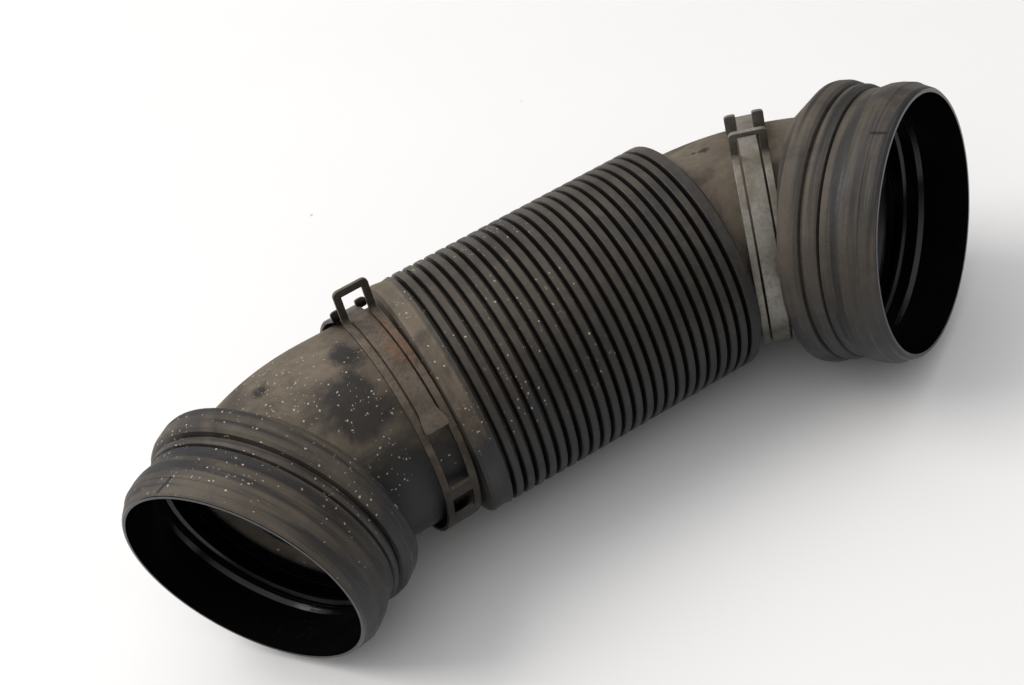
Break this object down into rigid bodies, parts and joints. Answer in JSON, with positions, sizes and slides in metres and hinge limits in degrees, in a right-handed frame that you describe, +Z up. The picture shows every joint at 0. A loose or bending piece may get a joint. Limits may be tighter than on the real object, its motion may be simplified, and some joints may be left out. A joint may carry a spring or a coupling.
{
  "type": "air intake duct",
  "caption": "Corrugated flexible air intake duct with an angled socket collar at each end and a loose spring band clamp on each neck.",
  "frame": {"origin": "bottom centre of the bounding box of the duct as it lies at rest on a flat surface", "axes": "+X along the corrugated hose towards the more sharply turned, larger collar; +Z up; both mouths turn towards -Y"},
  "size_m": [0.3036, 0.1162, 0.0987],
  "materials": {
    "duct_rubber": "semi-matt black moulded thermoplastic rubber, dusty brown on its upper sides",
    "left_clamp_steel": "dull spring steel with brown tarnish and light rust",
    "right_clamp_steel": "dull dusty spring steel"
  },
  "bodies": {
    "root": {"duct_hose": "duct_rubber", "left_band_clamp": "left_clamp_steel", "right_band_clamp": "right_clamp_steel"}
  },
  "joints": []
}
